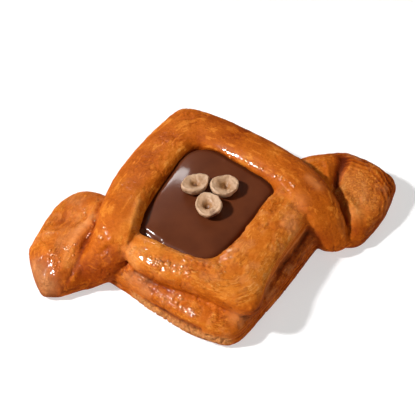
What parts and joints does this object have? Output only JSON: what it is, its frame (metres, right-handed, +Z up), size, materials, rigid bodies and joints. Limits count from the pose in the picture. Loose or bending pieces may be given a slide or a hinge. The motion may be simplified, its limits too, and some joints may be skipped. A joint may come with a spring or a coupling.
{
  "type": "danish pastry",
  "caption": "Square braided danish pastry of laminated dough, with crossed strips that end in folded ears, round a flat pool of chocolate topped with hazelnut halves.",
  "frame": {"origin": "on the table, under the middle of the whole outline", "axes": "+X from the left ear to the right ear, +Y away from the front corner, +Z up"},
  "size_m": [0.1598, 0.117, 0.0259],
  "materials": {
    "crust": "golden brown baked crust, glossy with glaze, blistered and flaky",
    "chocolate": "set milk chocolate, smooth satin with a soft shine at the rolled rim",
    "hazelnut": "cut roasted hazelnut, pale and matt, with traces of brown skin"
  },
  "bodies": {
    "root": {"pastry": "crust", "chocolate": "chocolate", "nut_left": "hazelnut", "nut_right": "hazelnut", "nut_front": "hazelnut"}
  },
  "joints": []
}
